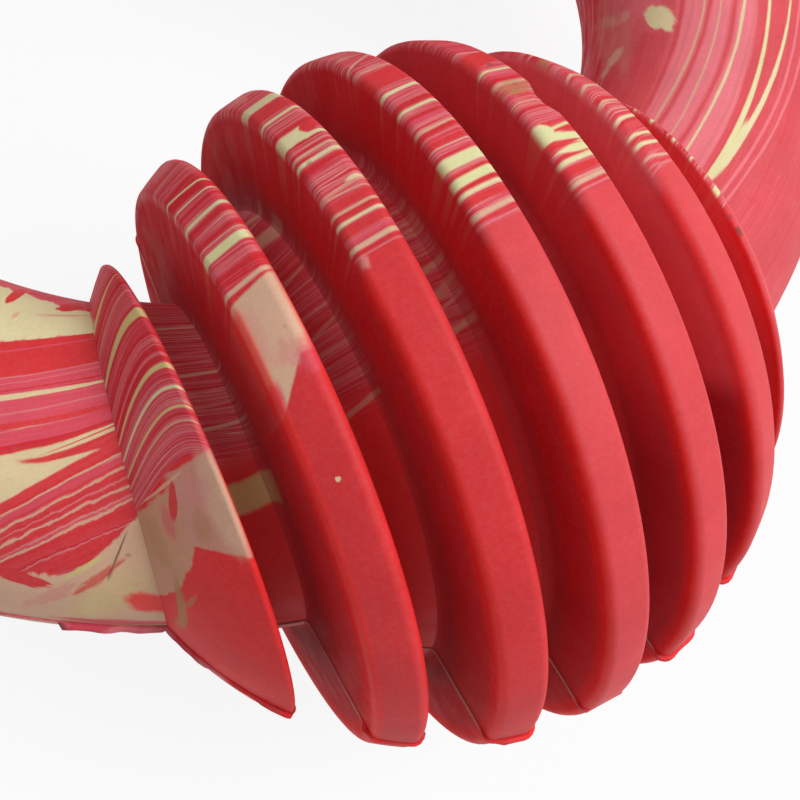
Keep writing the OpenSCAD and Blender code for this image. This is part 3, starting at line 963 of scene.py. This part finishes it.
farTube = {
    "zero": 0.0, "seed": 17.0, "closeness": 15.0,
    "stripes": [
        (95.0, 1.2, "cream", 0.1), (60.0, 10.0, "plain", 0.1, 0.0, 3.0),
        (112.0, 0.6, "beige", -0.1), (-80.0, 30.0, "plain", 0.0, 0.0, 4.0),
        (30.0, 1.6, "cream", 0.2), (140.0, 1.0, "cream", 0.1),
    ],
    "blobs": [
        ("cream", 1.0, (-6.0, 76.0), (9.0, 7.0), 0.8, 0.4, 1.6, 0.1),
        ("plain", 1.0, (-2.0, 79.0), (3.0, 2.0), 1.0, 0.5, 1.6, 0.15),
        ("beige", 1.0, (18.0, 12.0), (9.0, 11.0), 1.0, 0.45, 1.8, 0.1),
        ("pink", 0.8, (16.0, 14.0), (4.0, 4.0), 2.0, 0.5, 1.8, 0.3),
        ("beige", 1.0, (-22.0, -14.0), (6.0, 14.0), 2.0, 0.45, 1.8, 0.1),
        ("cream", 1.0, (24.0, 128.0), (6.0, 6.0), 0.5, 0.45, 1.6, 0.12),
    ],
}

tubeLook = {
    "fine": {"Ripple": 2.6, "Pinkness": 0.4},
    "hairs": {"Ripple": 2.6, "Closeness": 60.0, "Pinkness": 0.3},
    "hairShare": 0.16,
    "hairSeed": 5.0,         # on from the tube's own
}


def fannedAngle(along, angle, fan):
    # the stripes spread out to the left, most below a line where they part
    near = calc("MAXIMUM", along, fan["nearest"])
    square, straight = fan["spread"]
    spread = (near * near).times(square, near * straight)
    line, slope = fan["parting"]
    parting = angle - line - near * slope
    widening, width, least, most = fan["partingHalf"]
    half = calc("MAXIMUM", along.times(widening, width), least)
    half = calc("MINIMUM", half, most)
    below = remap(parting, half, -half, kind="LINEAR") * remap(angle, *fan["underside"])
    lean = along * fan["lean"]
    angle = angle - lean - spread * below
    curl = join(along * fan["curlAlong"], angle * fan["curlRound"], fan["curlSeed"])
    curl = noise(curl) - noiseMiddle
    return curl.times(remap(angle, *fan["curl"]), angle)


def tubeRubber(name, turn, settings):
    material, shader, coordinates = newRubber(name)
    place = useGroup(flowPlace, Place=coordinates, Turn=turn)
    along = place["RingAngle"] - settings["zero"]
    tubeAngle, seed = place["TubeAngle"], settings["seed"]
    fanned = "fan" in settings
    angle = fannedAngle(along, tubeAngle, settings["fan"]) if fanned else tubeAngle
    fine = useGroup(fineStripes, Angle=angle, Along=place["Along"], Seed=seed,
                    Closeness=settings["closeness"], **tubeLook["fine"])
    colour = layStripes(fine["Color"], fine["Angle"], along, settings["stripes"])
    colour = layPatches(colour, along, fine["Angle"], settings.get("fanned", []))
    hairs = useGroup(fineStripes, Angle=angle, Along=place["Along"],
                     Seed=seed + tubeLook["hairSeed"], **tubeLook["hairs"])
    colour = blendColours(tubeLook["hairShare"], colour, hairs["Color"])
    colour = layPatches(colour, along, tubeAngle, settings.get("patches", []))
    colour = layBlobs(colour, along, tubeAngle, settings["blobs"])
    colour = layBlobs(colour, tubeAngle, along, settings.get("upright", []))
    colour = laySpecks(colour, coordinates, settings.get("specks", []))
    finishRubber(shader, coordinates, colour)
    return material


def dress(node, material):
    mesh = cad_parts[node].data
    mesh.materials.clear()
    mesh.materials.append(material)


finNumbers = range(1, toy["fins"] + 1)
dress("tube_ca", tubeRubber("tubeLeft", 0.0, leftTube))
dress("tube_ab", tubeRubber("tubeRight", 0.0, rightTube))
dress("tube_bc", tubeRubber("tubeFar", 180.0, farTube))
dress("ball_a_core", shownCoreRubber())
for number in finNumbers:
    dress(f"ball_a_fin_{number}", shownFinRubber(number))
for letter, seed in otherBall["seeds"].items():
    otherRubber = ballRubber(letter, seed)
    dress(f"ball_{letter}_core", otherRubber)
    for number in finNumbers:
        dress(f"ball_{letter}_fin_{number}", otherRubber)
print("rubber dressed")


# the balls' forms get soft moulded edges, on merged copies of the loaded ones
softEdges = {
    "mergeWithin": 0.002 * mm,
    "smoothUnder": math.radians(38),
}


def selectOnly(piece):
    bpy.ops.object.select_all(action="DESELECT")
    piece.select_set(True)
    bpy.context.view_layer.objects.active = piece


def pick(piece, test):
    # selects the points that pass the test, leaving edit mode and entering it again
    bpy.ops.object.mode_set(mode="OBJECT")
    for part in (piece.data.polygons, piece.data.edges, piece.data.vertices):
        part.foreach_set("select", [False] * len(part))
    found = 0
    for vertex in piece.data.vertices:
        vertex.select = bool(test(vertex.co / mm))
        found += vertex.select
    bpy.ops.object.mode_set(mode="EDIT")
    bpy.ops.mesh.select_mode(type="VERT")
    return found


def mergedCopy(node, name):
    piece = bpy.data.objects.new(name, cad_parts[node].data.copy())
    bpy.context.collection.objects.link(piece)
    selectOnly(piece)
    bpy.ops.mesh.customdata_custom_splitnormals_clear()
    bpy.ops.object.mode_set(mode="EDIT")
    bpy.ops.mesh.select_all(action="SELECT")
    bpy.ops.mesh.remove_doubles(threshold=softEdges["mergeWithin"])
    bpy.ops.object.mode_set(mode="OBJECT")
    return piece


def softenEdges(piece):
    selectOnly(piece)
    bpy.ops.object.shade_smooth_by_angle(angle=softEdges["smoothUnder"], keep_sharp_edges=False)
    weigh = piece.modifiers.new("weigh", "WEIGHTED_NORMAL")
    weigh.keep_sharp = True
    bpy.ops.object.modifier_apply(modifier=weigh.name)


def ballAngleOf(place):
    return math.degrees(math.atan2(place.z, -(place.y + toy["ballCentre"])))


def reachFromAxis(place):
    return math.hypot(place.y + toy["ballCentre"], place.z)


def reachFromCentre(place):
    return math.hypot(reachFromAxis(place), place.x)


trimming = {
    "presses": (0.34, 0.67, 1.0),    # three nested presses make a rounded dent
    "edge": 0.7,                     # mm from the fin's middle
    "deepest": 3.6,                  # mm over the core
    # dents on the rims of the shown ball: from and to which angle, on which side, how deep in mm
    "dents": [
        {"fin": 5, "from": 103.4, "to": 109.4, "side": 1, "depth": 0.6},
        {"fin": 4, "from": 131.0, "to": 136.5, "side": -1, "depth": 0.35},
        {"fin": 2, "from": 146.0, "to": 151.0, "side": 1, "depth": 0.3}],
}


def dentRim(piece, dent):
    middle = (dent["fin"] - toy["middleFin"]) * toy["finPitch"]
    centre = (dent["from"] + dent["to"]) / 2
    half = (dent["to"] - dent["from"]) / 2
    side = dent["side"]
    lowest = toy["coreRadius"] + trimming["deepest"]
    for step in trimming["presses"]:
        found = pick(piece, lambda place: (place.x - middle) * side > trimming["edge"]
                     and reachFromAxis(place) > lowest
                     and abs(ballAngleOf(place) - centre) < half * step)
        if found:
            press = -side * dent["depth"] / len(trimming["presses"]) * mm
            bpy.ops.transform.translate(value=(press, 0, 0))
    bpy.ops.object.mode_set(mode="OBJECT")


ballNodes = {
    letter: [f"ball_{letter}_core"] + [f"ball_{letter}_fin_{number}" for number in finNumbers]
    for letter in toy["turns"]}
for nodes in ballNodes.values():
    for node in nodes:
        moulded = mergedCopy(node, node + "_moulded")
        for dent in trimming["dents"]:
            if node == f"ball_a_fin_{dent['fin']}":
                dentRim(moulded, dent)
        softenEdges(moulded)
        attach(moulded, "root")
        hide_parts(node)
print("moulded forms ready")


# the parting line, where the two halves of the mould met, with its thin flash
partingLine = {
    "thick": 0.22,           # across the line
    "proud": 0.7,            # the most that flash stands out
    "sunk": 0.05,
    "plain": (0.16, 0.05),   # share of the most on the plain line, and how that varies
    "least": 0.08,
    "rough": {"scale": 0.9, "start": (7, 3.1, 0.7)},
    "broken": {"scale": 0.35, "start": (1.7, 7, 0.2), "over": 0.05},
    # where flash was left: its share, what it gains where it is broken, and how it varies
    "tornTube": (0.8, 0.0, 0.25),
    "tornFrom": -31.6,       # degrees along the ring before each ball
    "tornTo": -25.0,
    "tornRims": (0.3, 0.25, 0.15),
    "rimsOver": 26.7,        # mm from the ball's centre, and so far inside the end fins' faces
    "rimsInside": 1.0,
    "tornEnd": (0.28, 0.2, 0.15),
    "endOver": 0.35,         # mm outside the first end fin's face
    "divide": (6.0, 3.0, 1.5, 0.8),  # longest edges in mm, cut again and again
    "flatWithin": math.radians(1.0),
    "mergeWithin": 0.01 * mm,
    "cutWithin": 1e-6,
    "boxCutWithin": 1e-7,
    "steep": 0.5,            # a face that looks up or down more than this is a cut
    "across": 0.7,           # and so is one of the tube that faces along the ring
    "touching": 0.02,        # mm within which a face is covered by the form beside it
    "neckGap": 0.55,         # mm that the neck stands out from the tube, with a little to spare
}


def tornShare(torn, rough, broken):
    share, gain, varying = torn
    return share + (gain if broken else 0.0) + varying * rough


def flashShare(place, onTube):
    # how far the flash stands out here, as a share of the most
    line = partingLine
    rough = unevenness.noise(place * line["rough"]["scale"] + Vector(line["rough"]["start"]))
    broken = unevenness.noise(place * line["broken"]["scale"] + Vector(line["broken"]["start"]))
    broken = broken > line["broken"]["over"]
    share = line["plain"][0] + line["plain"][1] * rough
    if math.hypot(place.x, place.y) > toy["ringRadius"]:
        if onTube:
            third = toy["turns"]["b"]
            ring = math.degrees(math.atan2(place.x, -place.y)) % third - third
            if line["tornFrom"] < ring < line["tornTo"]:
                share = tornShare(line["tornTube"], rough, broken)
        elif (abs(place.x) < toy["endFin"] - line["rimsInside"]
              and reachFromCentre(place) > line["rimsOver"]):
            share = tornShare(line["tornRims"], rough, broken)
        elif place.x < -toy["endFin"] - line["endOver"]:
            share = tornShare(line["tornEnd"], rough, broken)
    return min(max(share, line["least"]), 1.0)


def isCovered(face, node, onTube):
    # faces that look up or down, or that other forms cover, are no part of the line
    place, out = face.center / mm, face.normal
    touching = partingLine["touching"]
    level = math.hypot(place.x, place.y)
    if abs(out.z) > partingLine["steep"]:
        return True
    if onTube:
        return abs(out.x * place.y - out.y * place.x) > partingLine["across"] * level
    if "fin" not in node:
        return abs(abs(place.x) - toy["endFin"]) < touching
    gap = partingLine["neckGap"] if abs(place.x) < toy["endFin"] else touching
    inTube = abs(level - toy["ringRadius"]) < toy["tubeRadius"] + gap
    inCore = reachFromCentre(place) < toy["coreRadius"] + touching
    return inTube or (inCore and abs(place.x) < toy["endFin"] + touching)


def strip(node, onTube):
    # the narrow band of a form's surface that lies on the parting line
    piece = mergedCopy(node, "strip_" + node)
    half = partingLine["thick"] / 2 * mm
    bpy.ops.object.mode_set(mode="EDIT")
    for side in (1, -1):
        bpy.ops.mesh.select_all(action="SELECT")
        bpy.ops.mesh.bisect(plane_co=(0, 0, side * half), plane_no=(0, 0, side),
                            clear_outer=True, threshold=partingLine["cutWithin"])
    bpy.ops.mesh.select_all(action="SELECT")
    bpy.ops.mesh.dissolve_limited(angle_limit=partingLine["flatWithin"])
    bpy.ops.mesh.select_all(action="SELECT")
    bpy.ops.mesh.remove_doubles(threshold=partingLine["mergeWithin"])
    # long edges are divided, so that the flash can be uneven
    for limit in partingLine["divide"]:
        bpy.ops.mesh.select_mode(type="EDGE")
        bpy.ops.mesh.select_all(action="DESELECT")
        bpy.ops.object.mode_set(mode="OBJECT")
        points = piece.data.vertices
        for edge in piece.data.edges:
            first, second = (points[index].co for index in edge.vertices)
            edge.select = (first - second).length > limit * mm
        bpy.ops.object.mode_set(mode="EDIT")
        bpy.ops.mesh.subdivide(number_cuts=1)
    bpy.ops.mesh.select_mode(type="FACE")
    bpy.ops.mesh.select_all(action="DESELECT")
    bpy.ops.object.mode_set(mode="OBJECT")
    for face in piece.data.polygons:
        face.select = isCovered(face, node, onTube)
    chosen = any(face.select for face in piece.data.polygons)
    bpy.ops.object.mode_set(mode="EDIT")
    if chosen:
        bpy.ops.mesh.delete(type="FACE")
    bpy.ops.object.mode_set(mode="OBJECT")
    group = piece.vertex_groups.new(name="flash")
    for vertex in piece.data.vertices:
        group.add([vertex.index], flashShare(vertex.co / mm, onTube), "REPLACE")
    wall = piece.modifiers.new("wall", "SOLIDIFY")
    high = partingLine["proud"] + partingLine["sunk"]
    wall.thickness = high * mm
    wall.offset = 1.0 - 2.0 * partingLine["sunk"] / high
    wall.vertex_group = group.name
    wall.thickness_vertex_group = 0.0
    bpy.ops.object.modifier_apply(modifier=wall.name)
    piece.vertex_groups.clear()
    return piece


def joinPieces(pieces, name):
    selectOnly(pieces[0])
    for piece in pieces:
        piece.select_set(True)
    if len(pieces) > 1:
        bpy.ops.object.join()
    pieces[0].name = name
    pieces[0].data.name = name
    return pieces[0]


def keepInBox(piece):
    # nothing stands out past the toy's own size
    selectOnly(piece)
    bpy.ops.object.mode_set(mode="EDIT")
    low, high = cadBox
    for axis in (0, 1):
        for corner, side in ((low, -1), (high, 1)):
            place, out = [0, 0, 0], [0, 0, 0]
            place[axis], out[axis] = corner[axis], side
            bpy.ops.mesh.select_all(action="SELECT")
            bpy.ops.mesh.bisect(plane_co=place, plane_no=out, clear_outer=True, use_fill=True,
                                threshold=partingLine["boxCutWithin"])
    bpy.ops.mesh.select_all(action="SELECT")
    bpy.ops.mesh.normals_make_consistent(inside=False)
    bpy.ops.object.mode_set(mode="OBJECT")


def turnedCopy(piece, name, degrees):
    copy = bpy.data.objects.new(name, piece.data.copy())
    bpy.context.collection.objects.link(copy)
    copy.data.transform(Matrix.Rotation(math.radians(degrees), 4, "Z"))
    copy.data.name = name
    return copy


flashLook = {
    "spots": 420.0,
    "spotsBetween": (0.42, 0.62),
    "rim": (1.6, 0.7),       # mm under the ball's outline
    "tube": (3.0, 4.0),      # mm past the end fins' flat faces
}


def partingRubber(name, turn):
    # the thin line is paler than the rubber beside it, and the flash on the rims as red as they are
    material, shader, coordinates = newRubber(name)
    place = useGroup(flowPlace, Place=coordinates, Turn=turn)
    spots = remap(noise(coordinates, flashLook["spots"]), *flashLook["spotsBetween"])
    pale = blendColours(spots, marble["rosyTan"], marble["palePink"])
    start, full = flashLook["rim"]
    onRim = remap(place["BallRadius"], toy["ballRadius"] - start, toy["ballRadius"] - full)
    red = blendColours(spots, marble["bright"], marble["coral"])
    colour = blendColours(onRim, pale, red)
    start, full = flashLook["tube"]
    out = calc("ABSOLUTE", place["BallAlong"])
    onTube = remap(out, toy["endFin"] + start, toy["endFin"] + full)
    pink = blendColours(spots, marble["softPink"], marble["pink"])
    finishRubber(shader, coordinates, blendColours(onTube, colour, pink))
    return material


ballFlash = joinPieces([strip(node, False) for node in ballNodes["a"]], "partingLine_ball_a")
tubeFlash = joinPieces([strip("tube_ca", True)], "partingLine_tube_ca")
flashRubber = {letter: partingRubber("partingRubber_" + letter, turn)
               for letter, turn in toy["turns"].items()}
partingPieces = []
for letter, tube in (("a", "tube_ca"), ("b", "tube_ab"), ("c", "tube_bc")):
    turn = toy["turns"][letter]
    for first, slot, name in ((ballFlash, "fin_rubber", "partingLine_ball_" + letter),
                              (tubeFlash, "tube_rubber", "partingLine_" + tube)):
        line = first if turn == 0 else turnedCopy(first, name, turn)
        partingPieces.append((line, slot, flashRubber[letter]))
for line, slot, material in partingPieces:
    keepInBox(line)
    line.data.materials.clear()
    line.data.materials.append(material)
    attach(line, "root")
print("parting line ready")


studio = {
    "floorSize": 12.0,
    "floorWhite": 0.9,       # share of plain white near the toy, the rest takes the shadow
    "floorFade": (0.2, 1.2), # metres from the toy where that starts to rise, and where all is white
    "floorColour": (0.82, 0.82, 0.82, 1.0),
    "white": (1, 1, 1, 1),
    "world": 0.3,
    "key": {"place": (0.36, -0.26, 0.58), "size": 0.45, "power": 4.6},
    "fill": {"place": (-0.3, 0.35, 0.6), "size": 0.6, "power": 0.9},
}


def seenPlainly(tree):
    # the floor and the world look white to the camera and in reflections only
    path = outputsOf(tree.nodes.new("ShaderNodeLightPath"))
    mirrored = calc("MAXIMUM", path["Is Glossy Ray"], path["Is Transmission Ray"])
    return calc("MAXIMUM", path["Is Camera Ray"], mirrored)


def makeFloor():
    bpy.ops.mesh.primitive_plane_add(size=studio["floorSize"], location=(0, 0, cadBox[0][2]))
    floor = bpy.context.object
    floor.name = "paleFloor"
    bpy.ops.object.transform_apply(location=True, rotation=True, scale=True)
    material = bpy.data.materials.new("paleFloor")
    material.use_nodes = True
    tree = material.node_tree
    tree.nodes.clear()
    plain = tree.nodes.new("ShaderNodeBsdfDiffuse")
    plug(plain.inputs["Color"], studio["floorColour"])
    glow = tree.nodes.new("ShaderNodeEmission")
    plug(glow.inputs["Color"], studio["white"])
    plug(glow.inputs["Strength"], 1.0)
    seen = seenPlainly(tree)
    mixer = tree.nodes.new("ShaderNodeMixShader")
    distance = vectorCalc("LENGTH", outputsOf(tree.nodes.new("ShaderNodeTexCoord"))["Object"])
    white = remap(distance, *studio["floorFade"], studio["floorWhite"], 1.0)
    shaders = (seen * white, nodeValue(plain.outputs[0]), nodeValue(glow.outputs[0]))
    for socket, value in zip(mixer.inputs, shaders):
        plug(socket, value)
    output = tree.nodes.new("ShaderNodeOutputMaterial")
    plug(output.inputs["Surface"], nodeValue(mixer.outputs[0]))
    floor.data.materials.append(material)


def makeLight(name, settings):
    data = bpy.data.lights.new(name, "AREA")
    data.shape = "DISK"
    data.size = settings["size"]
    data.energy = settings["power"]
    lamp = bpy.data.objects.new(name, data)
    lamp.location = settings["place"]
    aim = Vector((0, -toy["ballCentre"] * mm, 0)) - lamp.location
    lamp.rotation_euler = aim.to_track_quat("-Z", "Y").to_euler()
    bpy.context.collection.objects.link(lamp)


def makeWorld():
    world = bpy.data.worlds.new("softWhite")
    bpy.context.scene.world = world
    world.use_nodes = True
    tree = world.node_tree
    tree.nodes.clear()
    background = tree.nodes.new("ShaderNodeBackground")
    plug(background.inputs["Color"], studio["white"])
    strength = remap(seenPlainly(tree), 0.0, 1.0, studio["world"], 1.0, kind="LINEAR")
    plug(background.inputs["Strength"], strength)
    output = tree.nodes.new("ShaderNodeOutputWorld")
    plug(output.inputs["Surface"], nodeValue(background.outputs[0]))


camera = {
    "place": (-29.673 * mm, -76.511 * mm, 87.084 * mm),
    "turn": (27.846, -7.029, -27.314),
    "lens": 53.327,
    "sensor": 36.0,
    "shiftY": -0.1125,
    "nearest": 0.001,        # metres
}


def makeCamera():
    data = bpy.data.cameras.new("photoCamera")
    data.lens = camera["lens"]
    data.sensor_width = camera["sensor"]
    data.shift_y = camera["shiftY"]
    data.clip_start = camera["nearest"]
    holder = bpy.data.objects.new("photoCamera", data)
    holder.location = camera["place"]
    holder.rotation_euler = [math.radians(value) for value in camera["turn"]]
    bpy.context.collection.objects.link(holder)
    bpy.context.scene.camera = holder


makeFloor()
makeLight("keyLamp", studio["key"])
makeLight("fillLamp", studio["fill"])
makeWorld()
makeCamera()
bpy.context.scene.view_settings.view_transform = "Standard"
print("studio ready")
